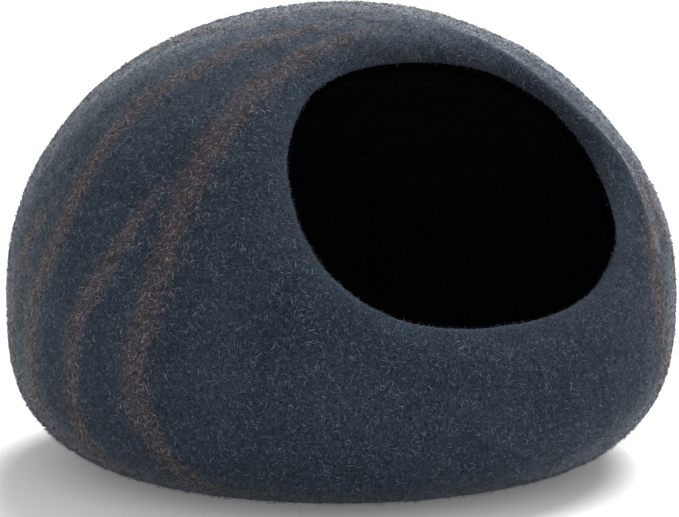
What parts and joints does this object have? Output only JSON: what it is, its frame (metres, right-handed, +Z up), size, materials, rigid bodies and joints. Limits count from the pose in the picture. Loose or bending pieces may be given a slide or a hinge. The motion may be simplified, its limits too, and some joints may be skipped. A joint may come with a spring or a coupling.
{
  "type": "felt cat cave",
  "caption": "Rounded one-piece wool felt pet cave with a large oval doorway in its sloping upper front, a hollow inside and a base pressed flat to stand on the floor.",
  "frame": {"origin": "middle of the flat base, on the surface that the cave stands on", "axes": "+Z up, -Y the way the doorway faces, +X to the right of someone who looks along +Y"},
  "size_m": [0.46, 0.449, 0.3103],
  "materials": {
    "slate_felt": "matt fuzzy wool felt, dark slate blue with brown streaks"
  },
  "bodies": {
    "root": {"felt_shell": "slate_felt"}
  },
  "joints": []
}
